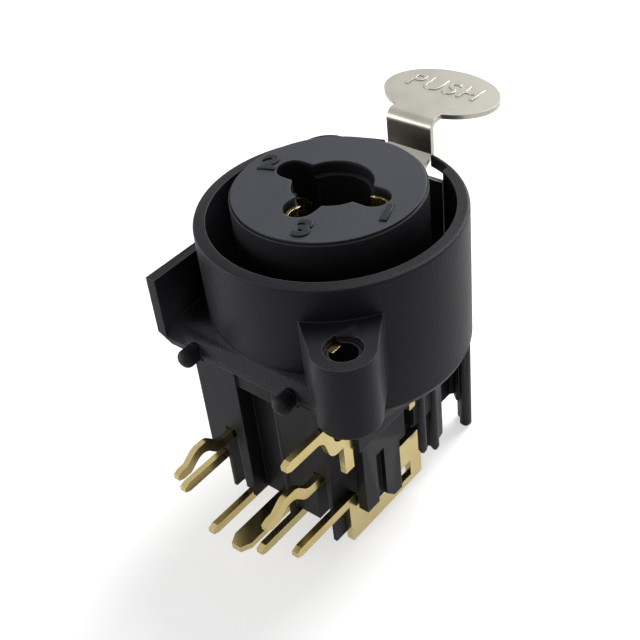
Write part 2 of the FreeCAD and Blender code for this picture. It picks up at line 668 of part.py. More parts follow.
def make_spring_contact(side, pin_z):
    """The inner sheet on one side, with its inward jog, pin and bowed leaf."""
    half = SHEET_T / 2
    high = -SHEET_FRONT
    outline = [
        (SHEET_TOP_Y, -INNER_REAR),
        (-INNER_FOOT_Y, -INNER_REAR),
        (-INNER_FOOT_Y, pin_z + PIN_W),
        (-INNER_FOOT_Y + 2.2, high),
        (SHEET_TOP_Y, high),
    ]
    sheet = plate_x(outline, INNER_X - half, INNER_X + half)
    pin_x = inner_pin_x(side)
    jog_y = -INNER_FOOT_Y - (INNER_X - pin_x) * 0.8
    jog = plate_z([
        (INNER_X - half, -INNER_FOOT_Y),
        (INNER_X + half, -INNER_FOOT_Y),
        (INNER_X + half, -INNER_FOOT_Y - half),
        (pin_x + half, jog_y),
        (pin_x - half, jog_y),
        (pin_x - half, jog_y + half),
    ], pin_z, pin_z + PIN_W)
    pin = plate_x(pin_outline(jog_y, -PIN_END_Y, pin_z, pin_z + PIN_W), pin_x - half, pin_x + half)
    window_z = (high - INNER_REAR) / 2
    window = box(INNER_X - 1, INNER_X + 1, -1.2, -1.2 + WINDOW_W, window_z - WINDOW_H / 2,
                 window_z + WINDOW_H / 2)
    leaf = bowed_leaf(INNER_X - half, JACK_R + 0.1, -2.6, SHEET_TOP_Y, window_z + WINDOW_H / 2)
    contact = joined([sheet, jog, pin, leaf]).cut(window)
    return contact if side > 0 else mirrored(contact)


def make_sleeve_contact():
    """A plate across the block with a wide pin turned down from its rear edge."""
    half = SHEET_T / 2
    plate = box(-SLEEVE_HALF, SLEEVE_HALF, -SLEEVE_Y - half, -SLEEVE_Y + half, -SLEEVE_REAR,
                -SLEEVE_REAR + SLEEVE_LEN)
    pin_half = SLEEVE_PIN_W / 2
    outline = [
        (FOOT_X - pin_half, -SLEEVE_Y),
        (FOOT_X - pin_half, -PIN_END_Y + pin_half),
        (FOOT_X - pin_half / 2, -PIN_END_Y),
        (FOOT_X + pin_half / 2, -PIN_END_Y),
        (FOOT_X + pin_half, -PIN_END_Y + pin_half),
        (FOOT_X + pin_half, -SLEEVE_Y),
    ]
    pin = plate_z(outline, -SLEEVE_REAR, -SLEEVE_REAR + SHEET_T)
    return joined([plate, pin])


def barrel(x, y, turn, drop=BARREL_DROP):
    """A round contact socket that is open along its side towards the jack bore."""
    low = CAVITY_Z
    high = FACE_Z - drop
    tube = cylinder(BARREL_R, x, y, low, high).cut(cylinder(BARREL_BORE, x, y, low - 1, high + 1))
    slit = box(0, BARREL_R + 1, -0.8, 0.8, low - 1, high + 1)
    slit.rotate(FreeCAD.Vector(0, 0, 0), FreeCAD.Vector(0, 0, 1), turn)
    slit.translate(FreeCAD.Vector(x, y, 0))
    return tube.cut(slit)


def bent_strip(path):
    """The outline of a strip along a bent path of (reach, z, half width) points towards the board."""
    front = []
    back = []
    last = len(path) - 1
    for index, (reach, z, half) in enumerate(path):
        first_point = path[max(index - 1, 0)]
        last_point = path[min(index + 1, last)]
        after = math.atan2(last_point[1] - z, last_point[0] - reach) if index < last else None
        before = math.atan2(z - first_point[1], reach - first_point[0]) if index else after
        after = before if after is None else after
        middle = (before + after) / 2
        width = half / math.cos((after - before) / 2)
        step = (-math.sin(middle) * width, math.cos(middle) * width)
        front.append((-reach - step[0], z + step[1]))
        back.append((-reach + step[0], z - step[1]))
    return front + back[::-1]


def snap_tail(y_root, z_root):
    """A tail that snaps into the board: it kinks forward below the shelf and comes back at its end."""
    half = TAIL_W / 2
    kink_z = z_root + TAIL_KINK
    end_z = kink_z - TAIL_RETURN
    fifth = (TAIL_END_Y - SHELF_Y) / 5
    return bent_strip([
        (-y_root, z_root, half),
        (SHELF_Y + fifth / 2, z_root, half),
        (SHELF_Y + fifth * 1.6, kink_z, half),
        (SHELF_Y + fifth * 2.7, kink_z, half),
        (SHELF_Y + fifth * 3.8, end_z, half),
        (SHELF_Y + fifth * 4.5, end_z, half),
        (TAIL_END_Y, end_z, half / 2),
    ])


def stepped_tail(y_root, z_root, shift):
    """A tail that steps forward on the board plane and then runs straight."""
    half = TAIL_W / 2
    end_z = z_root + shift
    return bent_strip([
        (-y_root, z_root, half),
        (SHELF_Y + half / 2, z_root, half),
        (SHELF_Y + 2 * half, end_z, half),
        (TAIL_END_Y - half, end_z, half),
        (TAIL_END_Y, end_z, half / 2),
    ])


def make_pole_one():
    """The first pole: its arm runs out to a strap with the ground finger and the tail."""
    half_t = TAIL_T / 2
    half_w = TAIL_W / 2
    x0 = POLE_TAIL_X - half_t
    x1 = POLE_TAIL_X + half_t
    arm_low = -ARM_Z - ARM_W / 2
    arm_high = -ARM_Z + ARM_W / 2
    strap_x0 = STRAP_X
    strap_x1 = STRAP_X + TAIL_T
    stem = box(x0, x1, JACK_Y - half_w, JACK_Y + half_w, arm_low, CAVITY_Z + STEM_INSET)
    run = box(x0, x1, -SLIT_Y - half_t, JACK_Y + half_w, arm_low, arm_high)
    arm = box(x0, strap_x1, -SLIT_Y - half_t, -SLIT_Y + half_t, arm_low, arm_high)
    riser = box(strap_x0, strap_x1, -SLIT_Y - SLIT_W / 2, -SLIT_Y + half_t, arm_low, SHOULDER_Z - FIT)
    strap = box(strap_x0, strap_x1, -STRAP_Y, -SLIT_Y, SHOULDER_Z - FIT - STRAP_W, SHOULDER_Z - FIT)
    post = box(strap_x0, strap_x1, -STRAP_Y - STRAP_W / 2, -STRAP_Y + STRAP_W / 2, -STRAP_FOOT, -STRAP_TOP)
    outline = stepped_tail(-STRAP_Y, -GROUND_TAIL_Z, GROUND_TAIL_STEP)
    tail = plate_x(outline, strap_x0, strap_x1)
    socket = barrel(LOBE_PITCH, JACK_Y, 180)
    return joined([socket, stem, run, arm, riser, strap, post, tail])


def make_pole_two():
    half_t = TAIL_T / 2
    half_w = TAIL_W / 2
    x0 = -POLE_TAIL_X - half_t
    x1 = -POLE_TAIL_X + half_t
    stem = box(x0, x1, JACK_Y - half_w, JACK_Y + half_w, -POLE_TAIL_Z - half_w, CAVITY_Z + STEM_INSET)
    tail = plate_x(snap_tail(JACK_Y, -POLE_TAIL_Z), x0, x1)
    return joined([barrel(-LOBE_PITCH, JACK_Y, 0, BARREL_DROP_2), stem, tail])


def make_pole_three():
    half_t = TAIL_T / 2
    half_w = TAIL_W / 2
    y = JACK_Y - POLE_TAIL_X
    x0 = POLE_TAIL_X - half_t
    x1 = POLE_TAIL_X + half_t
    low = -POLE_TAIL_Z - half_w
    stem = box(-half_w, half_w, y - half_t, y + half_t, low, CAVITY_Z + STEM_INSET)
    cross = box(-half_w, x1, y - half_t, y + half_t, low, low + TAIL_W)
    tail = plate_x(snap_tail(y, -POLE_TAIL_Z), x0, x1)
    return joined([barrel(0, JACK_Y - LOBE_PITCH, 90), stem, cross, tail])


os.makedirs("parts", exist_ok=True)
save("housing", make_housing())
save("socket_insert", make_insert())
save("latch", make_latch())
save("latch_spring", make_latch_spring())
save("tip_switch", make_switch_contact(1))
save("ring_switch", make_switch_contact(-1))
save("tip_contact", make_spring_contact(1, TIP_PIN_Z))
save("ring_contact", make_spring_contact(-1, RING_PIN_Z))
save("sleeve_contact", make_sleeve_contact())
save("pole_1_contact", make_pole_one())
save("pole_2_contact", make_pole_two())
save("pole_3_contact", make_pole_three())
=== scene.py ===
"""Looks of a combined XLR and jack panel socket: mouldings, push latch, contacts and stage."""
import math
from contextlib import contextmanager

import bmesh
import bpy
from bpy.props import FloatProperty, FloatVectorProperty, PointerProperty, StringProperty
from mathutils import Matrix, Quaternion, Vector


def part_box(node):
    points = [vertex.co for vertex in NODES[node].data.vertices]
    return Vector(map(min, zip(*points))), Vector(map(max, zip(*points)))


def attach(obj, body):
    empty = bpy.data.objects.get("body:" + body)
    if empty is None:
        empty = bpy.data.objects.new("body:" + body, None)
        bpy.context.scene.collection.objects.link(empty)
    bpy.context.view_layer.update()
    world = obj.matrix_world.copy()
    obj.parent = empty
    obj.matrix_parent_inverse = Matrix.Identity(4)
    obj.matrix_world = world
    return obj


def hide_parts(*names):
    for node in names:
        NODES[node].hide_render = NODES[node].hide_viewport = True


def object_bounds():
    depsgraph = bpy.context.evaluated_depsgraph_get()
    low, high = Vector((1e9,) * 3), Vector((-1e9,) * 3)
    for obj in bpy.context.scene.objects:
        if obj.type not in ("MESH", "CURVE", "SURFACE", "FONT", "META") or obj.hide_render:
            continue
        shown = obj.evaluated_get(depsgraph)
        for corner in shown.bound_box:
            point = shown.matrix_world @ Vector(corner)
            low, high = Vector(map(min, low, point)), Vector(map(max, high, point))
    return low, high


bl_info = {
    "name": "Panel Socket Looks",
    "version": (1, 0, 0),
    "blender": (4, 5, 0),
    "location": "3D View > Sidebar > Socket",
    "description": "Finishes, raised marks and stage for a combined XLR and jack panel socket",
    "category": "Object",
}

MM = 0.001
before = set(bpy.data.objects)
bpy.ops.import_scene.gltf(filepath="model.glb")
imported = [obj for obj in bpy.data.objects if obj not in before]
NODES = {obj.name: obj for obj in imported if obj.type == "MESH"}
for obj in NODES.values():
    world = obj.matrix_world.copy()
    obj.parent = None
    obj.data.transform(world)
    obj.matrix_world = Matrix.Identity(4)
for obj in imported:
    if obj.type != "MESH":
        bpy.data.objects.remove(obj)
cad_low, cad_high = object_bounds()
FACE_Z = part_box("socket_insert")[1][2]
TAB_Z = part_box("latch")[1][2]
FLOOR_Z = cad_low[2]

# Round upright walls, as (x, y, radius) in millimetres.
HOUSING_WALLS = (
    (0, 0, 11.75),        # the collar's outside
    (0, 0, 10.65),        # the collar's bore
    (0, 0, 8.7),          # the rear body
    (9.9, -11.3, 2.7),    # the lower screw boss
    (-9.9, 11.3, 2.7),    # the upper screw boss
)
CORE_WALLS = (
    (0, 0, 8.4),          # the insert's outside
    (0, 0.6, 3.25),       # the jack bore
    (0, 0.6, 3.55),       # the jack bore's mouth
)
WALL_GAP = 0.03 * MM      # how far a corner may stand from a round wall
WALL_LEAN = 0.05          # most that an upright face's normal may rise
WALL_FACING = 0.985       # least cosine between a face and the wall's true direction

MERGE_GAP = 0.0005 * MM
FLAT_ANGLE = math.radians(0.4)
SHARP_ANGLE = math.radians(24)

# The insert's face edge: the solid's chamfer, and the narrower one that the core gets.
CORE_R = 8.4 * MM
CORE_CHAMFER = 0.6 * MM
CORE_EDGE = 0.18 * MM
FACE_GAP = 0.02 * MM

# Blocks that the housing gains or loses, as x, y and z ranges in millimetres.
BLOCKS_ADDED = (
    ("board_apron", (-8.3, 8.3), (-11.0, -10.72), (-11.0, -7.1)),
    ("strap_guard", (9.08, 9.55), (-10.2, -2.7), (-12.4, -10.7)),
)
BLOCKS_REMOVED = (
    ("collar_flat", (-5.4, 4.5), (-12.4, -11.0), (-11.4, -7.3)),
    ("channel_top", (-3.5, 0.8), (-12.4, -10.78), (-11.2, -7.3)),
    ("channel_root", (-3.5, 0.8), (-12.4, -9.3), (-13.2, -10.9)),
    ("cover_pocket", (6.55, 8.6), (-11.6, -8.5), (-17.4, -12.9)),
    ("cover_groove", (7.8, 8.6), (-6.8, -5.6), (-24.0, -16.3)),
)
# The outer wall of the head beside a rear prong, which opens along RELIEF_DEPTHS.
RELIEF_OUTLINE = (
    (7.78, 3.9), (9.5, 3.9), (9.5, 9.25), (5.85, 9.25), (5.1, 9.9), (4.85, 9.6), (4.85, 7.22),
    (5.17, 7.0), (5.78, 6.5), (6.3, 6.0), (6.74, 5.5), (7.12, 5.0), (7.47, 4.45),
)
RELIEF_DEPTHS = (-24.0, -10.92)
# The board pegs, and the room that is cleared around each, in millimetres.
PEG_PLACES = (-6.3, 4.5)
PEG_HEIGHT = -7.0
PEG_ROOT, PEG_TIP = -12.0, -14.15
PEG_RADIUS = 0.86
PEG_ROOM = 1.3
PEG_ROOM_REACH = (-15.0, -12.52)
PEG_ROOM_DEPTHS = (-8.4, -5.7)
KNOB_SIDES, KNOB_RINGS = 32, 8
KNOB_DOME = 0.75          # a dome's height, as a share of its radius

# The solder tails of the pole contacts: where they bend, and which edges count as bends.
TAIL_BACK, TAIL_FRONT = -11.2 * MM, -16.6 * MM
BEND_LEAST, BEND_MOST = 15, 75
BEND_LENGTH = 0.3 * MM
BEND_RADIUS = 0.75 * MM
BEND_STEPS = 5

# Marks, as x and y in millimetres.
RING_PLACES = ((-9.8, 2.3), (-7.28, 7.28), (9.8, 2.3), (7.28, 7.28))
RING_HEIGHT = -10.9
WORD_PLACE = (-0.2, 17.5)
NUMBER_PLACES = (("1", 6.7, -0.9), ("2", -6.7, 0.3), ("3", 2.3, -6.1))
NUMBER_RISE = 1.7         # times the rise of the word on the tab
NUMBER_BOLD = 0.09 * MM
MARK_FLANK = 0.6          # share of a mark's rise below its rounded rim

# Finishes. A tone is a factor on a colour of the settings.
WHITE = (1.0, 1.0, 1.0, 1.0)
SOFT_GLOSS = 0.1          # specular level of the mouldings
MOULDED_EDGE = 0.14 * MM
METAL_EDGE = 0.06 * MM
HOUSING_GRAIN = 1.15
INSERT_ROUGHER = 0.04
# Painted shade on the insert's side wall below its face.
INSERT_SIDE_SHADE = 0.22
# Painted shade: the pole numbers are darker than the face they stand on.
NUMBER_SHADE = 0.35
STEEL_TARNISH = 0.86
SPRING_TONE, SPRING_TARNISH = 0.7, 0.5
GOLD_TARNISH = (0.9, 0.82, 0.66)
ROLLED_DEPTH = 0.0006 * MM
PLATED_DEPTH = 0.0002 * MM
# How often a metal's fine lines repeat per metre along x, y and z.
LATCH_LINES = (2500.0, 26000.0, 26000.0)
SPRING_LINES = (26000.0, 26000.0, 2500.0)
STRIP_LINES = (24000.0, 3000.0, 24000.0)

# The stage, in metres. Each lamp has a name, a power setting, a place and a size.
LAMPS = (
    ("Key", "key_power", (0.0, 0.22, 0.28), 0.20),
    ("Fill", "fill_power", (-0.27, -0.25, 0.05), 0.16),
    ("Rim", "rim_power", (0.01, 0.29, 0.07), 0.12),
)
LAMP_TARGET = (0.0, 0.0, -0.010)
FLOOR_HALF = 2.0
FLOOR_GREY = (0.62, 0.62, 0.62, 1.0)
FLOOR_ROUGHNESS = 0.9
FLOOR_NEAR, FLOOR_FAR = 0.08, 0.5
FLOOR_FAR_LIFT = 0.86
CAMERA_SENSOR = 36.0      # in millimetres
CAMERA_NEAR, CAMERA_FAR = 0.005, 10.0


class MouldingSettings(bpy.types.PropertyGroup):
    housing_colour: FloatVectorProperty(
        name="Housing Colour", description="Colour of the outer moulding", subtype="COLOR",
        size=3, min=0, max=1, default=(0.013, 0.013, 0.0165))
    # Partly the insert's own black and partly painted light: it is lighter than the housing so that
    # the insert's face shows lit.
    insert_lit_colour: FloatVectorProperty(
        name="Insert Lit Colour", description="Colour of the inner moulding", subtype="COLOR",
        size=3, min=0, max=1, default=(0.046, 0.048, 0.057))
    roughness: FloatProperty(
        name="Roughness", description="Roughness of the moulded surface",
        min=0, max=1, default=0.46)
    ring_radius: FloatProperty(
        name="Ejector Ring", description="Radius of the rings that ejector pins leave",
        subtype="DISTANCE", unit="LENGTH", min=0, default=0.7 * MM)
    ring_line: FloatProperty(
        name="Ejector Line", description="Half the width of an ejector ring's line",
        subtype="DISTANCE", unit="LENGTH", min=0, default=0.05 * MM)
    grain: FloatProperty(
        name="Grain Depth", description="Depth of the fine moulded grain",
        subtype="DISTANCE", unit="LENGTH", min=0, default=0.035 * MM)


class MetalSettings(bpy.types.PropertyGroup):
    steel_colour: FloatVectorProperty(
        name="Steel Colour", description="Colour of the stainless latch", subtype="COLOR",
        size=3, min=0, max=1, default=(0.40, 0.385, 0.335))
    gold_colour: FloatVectorProperty(
        name="Gold Colour", description="Colour of the plated contacts", subtype="COLOR",
        size=3, min=0, max=1, default=(0.50, 0.41, 0.19))
    steel_roughness: FloatProperty(
        name="Steel Roughness", description="Roughness of the rolled steel",
        min=0, max=1, default=0.34)
    gold_roughness: FloatProperty(
        name="Gold Roughness", description="Roughness of the gold plating",
        min=0, max=1, default=0.23)


class MarkSettings(bpy.types.PropertyGroup):
    number_size: FloatProperty(
        name="Number Size", description="Type size of the pole numbers",
        subtype="DISTANCE", unit="LENGTH", min=0, default=3.0 * MM)
    number_turn: FloatProperty(
        name="Number Turn", description="Turn of the pole numbers on the face",
        subtype="ANGLE", unit="ROTATION", default=math.radians(20.0))
    word: StringProperty(
        name="Tab Word", description="Word embossed on the push tab", default="PUSH")
    word_size: FloatProperty(
        name="Word Size", description="Type size of the word on the tab",
        subtype="DISTANCE", unit="LENGTH", min=0, default=3.05 * MM)
    rise: FloatProperty(
        name="Mark Rise", description="How far a mark stands out of its surface",
        subtype="DISTANCE", unit="LENGTH", min=0, default=0.10 * MM)


class StageSettings(bpy.types.PropertyGroup):
    lens: FloatProperty(
        name="Focal Length", description="Focal length of the camera in millimetres",
        min=1, default=63.845)
    location: FloatVectorProperty(
        name="Camera Place", description="Place of the camera", subtype="TRANSLATION",
        size=3, default=(53.965 * MM, -60.308 * MM, 55.177 * MM))
    target: FloatVectorProperty(
        name="Camera Target", description="Point that the camera looks at", subtype="TRANSLATION",
        size=3, default=(-1.827 * MM, -1.003 * MM, -9.342 * MM))
    roll: FloatProperty(
        name="Camera Roll", description="Turn of the camera about its view axis",
        subtype="ANGLE", unit="ROTATION", default=math.radians(-6.975))
    key_power: FloatProperty(
        name="Key Power", description="Power of the key lamp in watts", min=0, default=1.15)
    fill_power: FloatProperty(
        name="Fill Power", description="Power of the fill lamp in watts", min=0, default=0.68)
    rim_power: FloatProperty(
        name="Rim Power", description="Power of the lamp behind the socket in watts",
        min=0, default=0.45)
    room: FloatProperty(
        name="Room Strength", description="Strength of the pale room's light", min=0, default=0.28)
    floor_lift: FloatProperty(
        name="Floor Lift", description="Light that the camera sees in the floor near the socket",
        min=0, default=0.60)


def add_node(tree, kind, values=None, **options):
    """A new node with its options set; a value may be a socket, which is linked, or plain."""
    node = tree.nodes.new(kind)
    for option, value in options.items():
        setattr(node, option, value)
    for key, value in (values or {}).items():
        if isinstance(value, bpy.types.NodeSocket):
            tree.links.new(value, node.inputs[key])
        else:
            node.inputs[key].default_value = value
    return node


def maths(tree, operation, first, second):
    return add_node(tree, "ShaderNodeMath", {0: first, 1: second},
                    operation=operation).outputs["Value"]


def ranged(tree, value, start, end):
    """Carries a value from the range start to the range end."""
    return add_node(tree, "ShaderNodeMapRange", {
        "Value": value, "From Min": start[0], "From Max": start[1],
        "To Min": end[0], "To Max": end[1]}).outputs["Result"]


def blended(tree, share, first, second, mode="MIX"):
    """A share of the second colour laid over the first."""
    return add_node(tree, "ShaderNodeMix", {"Factor": share, "A": first, "B": second},
                    data_type="RGBA", blend_type=mode).outputs["Result"]


def noise(tree, vector, scale, detail):
    return add_node(tree, "ShaderNodeTexNoise", {
        "Vector": vector, "Scale": scale, "Detail": detail}).outputs["Fac"]


def new_tree(name, kind, inputs, outputs):
    """A node group with named sockets, and the nodes at its two ends."""
    tree = bpy.data.node_groups.new(name, kind)
    for direction, sockets in (("INPUT", inputs), ("OUTPUT", outputs)):
        for title, shape, value in sockets:
            socket = tree.interface.new_socket(
                name=title, in_out=direction, socket_type="NodeSocket" + shape)
            if value is not None:
                socket.default_value = value
    return tree, tree.nodes.new("NodeGroupInput").outputs, tree.nodes.new("NodeGroupOutput").inputs


FINISH_OUTPUTS = (
    ("Colour", "Color", None),
    ("Roughness", "Float", None),
    ("Height", "Float", None),
)


def grain_group():
    """Fine moulded grain, with slow patches of gloss and tone, painted shade in hollows and a
    painted highlight on edges.
    """
    name = "Moulded Grain"
    if name in bpy.data.node_groups:
        return bpy.data.node_groups[name]
    group, given, result = new_tree(name, "ShaderNodeTree", (
        ("Bumps per Metre", "Float", 6500.0),
        ("Patches per Metre", "Float", 160.0),
        ("Hollow Reach", "Float", 4.0 * MM),
        ("Face Height", "Float", -1.0),
        ("Side Tone", "Float", 1.0),
        ("Edge Width", "Float", 0.16 * MM),
        ("Edge Colour", "Color", (0.075, 0.077, 0.082, 1.0)),
        ("Base Roughness", "Float", 0.45),
        ("Colour", "Color", (0.02, 0.02, 0.02, 1.0)),
    ), FINISH_OUTPUTS)
    place = add_node(group, "ShaderNodeTexCoord").outputs["Object"]
    fine = noise(group, place, given["Bumps per Metre"], 2.0)
    slow = noise(group, place, given["Patches per Metre"], 3.0)
    gloss = ranged(group, slow, (0.0, 1.0), (-0.06, 0.07))
    tone = ranged(group, slow, (0.0, 1.0), (0.82, 1.2))
    tint = blended(group, 1.0, given["Colour"], tone, "MULTIPLY")
    # Painted shade: hollows that little light reaches are darkened in the colour.
    open_air = add_node(group, "ShaderNodeAmbientOcclusion", {"Distance": given["Hollow Reach"]},
                        samples=8).outputs["AO"]
    depth = ranged(group, open_air, (0.15, 0.85), (0.2, 1.0))
    hollow_shaded = blended(group, 1.0, tint, depth, "MULTIPLY")
    # Painted shade: what lies below the face height is darkened by the side tone, for the insert's
    # side wall in the gap.
    height = add_node(group, "ShaderNodeSeparateXYZ", {"Vector": place}).outputs["Z"]
    above = maths(group, "SUBTRACT", height, given["Face Height"])
    side_shade = ranged(group, above, (-0.35 * MM, -0.05 * MM), (given["Side Tone"], 1.0))
    side_shaded = blended(group, 1.0, hollow_shaded, side_shade, "MULTIPLY")
    # Painted highlight: edges are lightened where the rounded normal turns away from the surface's
    # own, less so in the painted hollow shade.
    rounded = add_node(group, "ShaderNodeBevel", {"Radius": given["Edge Width"]}, samples=6)
    surface = add_node(group, "ShaderNodeNewGeometry")
    match = add_node(group, "ShaderNodeVectorMath", {
        0: rounded.outputs["Normal"], 1: surface.outputs["Normal"]}, operation="DOT_PRODUCT")
    edge_highlight_mask = ranged(group, match.outputs["Value"], (0.995, 0.90), (0.0, 1.0))
    edge_highlight_share = maths(group, "MULTIPLY", edge_highlight_mask, depth)
    group.links.new(blended(group, edge_highlight_share, side_shaded, given["Edge Colour"]), result["Colour"])
    group.links.new(maths(group, "ADD", given["Base Roughness"], gloss), result["Roughness"])
    group.links.new(fine, result["Height"])
    return group


def drawn_group():
    """Drawn and plated metal: fine lines along one way, with slow patches of tarnish."""
    name = "Drawn Metal"
    if name in bpy.data.node_groups:
        return bpy.data.node_groups[name]
    group, given, result = new_tree(name, "ShaderNodeTree", (
        ("Stretch", "Vector", (600.0, 9000.0, 9000.0)),
        ("Patches per Metre", "Float", 260.0),
        ("Base Roughness", "Float", 0.3),
        ("Colour", "Color", (0.7, 0.7, 0.7, 1.0)),
        ("Tarnish", "Color", (0.5, 0.5, 0.5, 1.0)),
    ), FINISH_OUTPUTS)
    place = add_node(group, "ShaderNodeTexCoord").outputs["Object"]
    stretched = add_node(group, "ShaderNodeVectorMath", {0: place, 1: given["Stretch"]},
                         operation="MULTIPLY").outputs["Vector"]
    lines = noise(group, stretched, 1.0, 4.0)
    slow = noise(group, place, given["Patches per Metre"], 4.0)
    gloss = ranged(group, lines, (0.0, 1.0), (-0.03, 0.035))
    patches = ranged(group, slow, (0.45, 0.75), (0.0, 1.0))
    group.links.new(blended(group, patches, given["Colour"], given["Tarnish"]), result["Colour"])
    group.links.new(maths(group, "ADD", given["Base Roughness"], gloss), result["Roughness"])
    group.links.new(lines, result["Height"])
    return group


def finish_material(name, group, values, depth, metallic, edge):
    """A material whose colour, roughness and bump come from one of the groups."""
    material = bpy.data.materials.new(name)
    material.use_nodes = True
    tree = material.node_tree
    shader = tree.nodes["Principled BSDF"]
    shader.inputs["Metallic"].default_value = metallic
    if not metallic:
        shader.inputs["Specular IOR Level"].default_value = SOFT_GLOSS
    pattern = add_node(tree, "ShaderNodeGroup", node_tree=group)
    for key, value in values.items():
        pattern.inputs[key].default_value = value
    eased = add_node(tree, "ShaderNodeBevel", {"Radius": edge}, samples=6)
    bump = add_node(tree, "ShaderNodeBump", {
        "Strength": 1.0, "Distance": depth, "Height": pattern.outputs["Height"],
        "Normal": eased.outputs["Normal"]})
    tree.links.new(pattern.outputs["Colour"], shader.inputs["Base Color"])
    tree.links.new(pattern.outputs["Roughness"], shader.inputs["Roughness"])
    tree.links.new(bump.outputs["Normal"], shader.inputs["Normal"])
    return material


def moulded(name, colour, roughness, depth, **more):
    """A moulded plastic; more holds other inputs of the grain group."""
    values = {"Colour": (*colour, 1.0), "Base Roughness": roughness, **more}
    return finish_material(name, grain_group(), values, depth, 0.0, MOULDED_EDGE)


def metal(name, colour, tarnish, roughness, stretch, depth):
    """A drawn metal, whose lines run along the axis with the smallest stretch."""
    values = {"Colour": (*colour, 1.0), "Tarnish": (*tarnish, 1.0),
              "Base Roughness": roughness, "Stretch": stretch}
    return finish_material(name, drawn_group(), values, depth, 1.0, METAL_EDGE)


def in_scene(name, data):
    """A new object in the scene that holds some data."""
    thing = bpy.data.objects.new(name, data)
    bpy.context.scene.collection.objects.link(thing)
    return thing


def new_mesh(name, points, faces):
    mesh = bpy.data.meshes.new(name)
    mesh.from_pydata(points, [], faces)
    return mesh


@contextmanager
def edited(mesh):
    """A mesh opened for edits, and written back after them."""
    shape = bmesh.new()
    shape.from_mesh(mesh)
    yield shape
    shape.to_mesh(mesh)
    shape.free()


def evaluated(thing):
    """A plain mesh of an object as its modifiers or its type make it."""
    graph = bpy.context.evaluated_depsgraph_get()
    return bpy.data.meshes.new_from_object(thing.evaluated_get(graph))


def apply_modifiers(piece):
    """Puts the modifiers' result in place of a piece's mesh."""
    mesh = evaluated(piece)
    piece.modifiers.clear()
    old = piece.data
    piece.data = mesh
    bpy.data.meshes.remove(old)
    mesh.name = piece.name


def give_finish(mesh, material):
    mesh.materials.clear()
    mesh.materials.append(material)


def prism(name, outline, z0, z1):
    """A closed upright prism from (x, y) points in millimetres, anticlockwise."""
    count = len(outline)
    points = [(x * MM, y * MM, z * MM) for z in (z0, z1) for x, y in outline]
    faces = [list(range(count))[::-1], list(range(count, 2 * count))]
    for i in range(count):
        j = (i + 1) % count
        faces.append([i, j, count + j, count + i])
    return in_scene(name, new_mesh(name, points, faces))


def block(name, xs, ys, zs):
    """A closed box from its ranges in millimetres."""
    return prism(name, [(xs[0], ys[0]), (xs[1], ys[0]), (xs[1], ys[1]), (xs[0], ys[1])], *zs)


def flipped(outline):
    """An outline mirrored across x = 0, still anticlockwise."""
    return [(-x, y) for x, y in reversed(outline)]


def knob(name, x, z, root, tip, radius):
    """A round peg along -Y with a domed end, closed."""
    dome = radius * KNOB_DOME
    profile = [(root, radius), (tip + dome, radius)]
    for i in range(1, KNOB_RINGS):
        turn = math.pi / 2 * i / KNOB_RINGS
        profile.append((tip + dome * (1 - math.sin(turn)), radius * math.cos(turn)))
    points, faces = [], []
    for y, r in profile:
        for k in range(KNOB_SIDES):
            turn = 2 * math.pi * k / KNOB_SIDES
            points.append(((x + r * math.cos(turn)) * MM, y * MM, (z + r * math.sin(turn)) * MM))
    points.append((x * MM, tip * MM, z * MM))
    for start in range(0, (len(profile) - 1) * KNOB_SIDES, KNOB_SIDES):
        for k in range(KNOB_SIDES):
            j = (k + 1) % KNOB_SIDES
            faces.append((start + k, start + j, start + KNOB_SIDES + j, start + KNOB_SIDES + k))
    last = (len(profile) - 1) * KNOB_SIDES
    for k in range(KNOB_SIDES):
        faces.append((last + k, last + (k + 1) % KNOB_SIDES, len(points) - 1))
    faces.append(list(range(KNOB_SIDES))[::-1])
    mesh = new_mesh(name, points, faces)
    with edited(mesh) as closed:
        bmesh.ops.recalc_face_normals(closed, faces=closed.faces)
    return in_scene(name, mesh)


def node_copy(node, name):
    """A merged copy of a CAD node's mesh, as an object of its own."""
    mesh = NODES[node].data.copy()
    mesh.name = name
    with edited(mesh) as merged:
        bmesh.ops.remove_doubles(merged, verts=merged.verts, dist=MERGE_GAP)
    return in_scene(name, mesh)


def carve(piece, added, removed):
    """Joins some solids to a piece and cuts others from it."""
    for operation, tools in (("UNION", added), ("DIFFERENCE", removed)):
        for tool in tools:
            modifier = piece.modifiers.new(tool.name, "BOOLEAN")
            modifier.operation = operation
            modifier.solver = "EXACT"
            modifier.object = tool
    apply_modifiers(piece)
    for tool in added + removed:
        bpy.data.objects.remove(tool)


def dissolve_flats(shape):
    """Joins the faces of a bmesh that lie in one plane."""
    bmesh.ops.dissolve_limit(shape, angle_limit=FLAT_ANGLE, verts=shape.verts, edges=shape.edges)


def ease_bends(piece, radius):
    """Rounds the kinks of a solder tail, between the block and its tapered tip."""
    with edited(piece.data) as shape:
        dissolve_flats(shape)
        kinks = []
        for edge in shape.edges:
            middle = (edge.verts[0].co + edge.verts[1].co) / 2
            if len(edge.link_faces) != 2 or not TAIL_FRONT < middle.y < TAIL_BACK:
                continue
            bend = math.degrees(edge.calc_face_angle(0.0))
            if BEND_LEAST < bend < BEND_MOST and edge.calc_length() > BEND_LENGTH:
                kinks.append(edge)
        bmesh.ops.bevel(shape, geom=kinks, offset=radius, segments=BEND_STEPS, profile=0.5,
                        affect="EDGES", clamp_overlap=True)


def smooth(piece, walls=()):
    """Soft shading on round walls and crisp edges elsewhere, held as plain normals."""
    with edited(piece.data) as joined:
        bmesh.ops.remove_doubles(joined, verts=joined.verts, dist=MERGE_GAP)
        dissolve_flats(joined)
    piece.data.shade_smooth()
    piece.data.set_sharp_from_angle(angle=SHARP_ANGLE)
    modifier = piece.modifiers.new("even", "WEIGHTED_NORMAL")
    modifier.keep_sharp = True
    modifier.mode = "CORNER_ANGLE"
    apply_modifiers(piece)
    if walls:
        round_normals(piece.data, walls)


